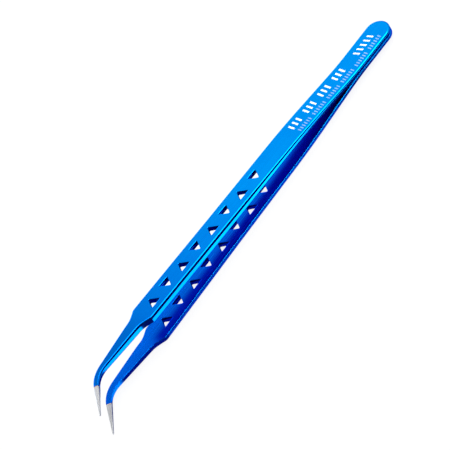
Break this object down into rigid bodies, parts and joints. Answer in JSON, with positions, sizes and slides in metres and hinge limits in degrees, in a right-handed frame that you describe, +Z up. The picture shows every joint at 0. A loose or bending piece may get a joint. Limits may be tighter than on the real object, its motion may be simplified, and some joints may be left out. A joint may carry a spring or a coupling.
{
  "type": "precision tweezers",
  "caption": "Slim spring-metal tweezers with a curved fine point, triangular windows in the grips and bare ground ends, lying on one grip.",
  "frame": {"origin": "centre of the bounding box on the surface that the tweezers lie on", "axes": "+X from the welded tail to the points; +Y the side that the points bend towards; +Z up, away from the lower grip's outer face, which lies flat on z = 0"},
  "size_m": [0.1404, 0.0136, 0.0107],
  "materials": {
    "blue_metal": "glossy blue anodised metal with fine lengthwise grain",
    "bare_metal": "bare ground metal, satin"
  },
  "bodies": {
    "tail": {"upper_tail": "blue_metal", "lower_tail": "blue_metal"},
    "upper_leg": {"upper_arm": "blue_metal", "upper_point": "bare_metal"},
    "lower_leg": {"lower_arm": "blue_metal", "lower_point": "bare_metal"}
  },
  "joints": [
    {"name": "upper_squeeze", "type": "hinge", "parent": "tail", "child": "upper_leg", "pos_m": [-0.04019, -0.00304, 0.00454], "axis": [0, 1, 0], "range_deg": [0, 1.91], "stiffness_Nm_per_rad": 1.75},
    {"name": "lower_squeeze", "type": "hinge", "parent": "tail", "child": "lower_leg", "pos_m": [-0.0401, -0.00304, 0.00131], "axis": [0, -1, 0], "range_deg": [0, 1.91], "stiffness_Nm_per_rad": 1.75}
  ]
}
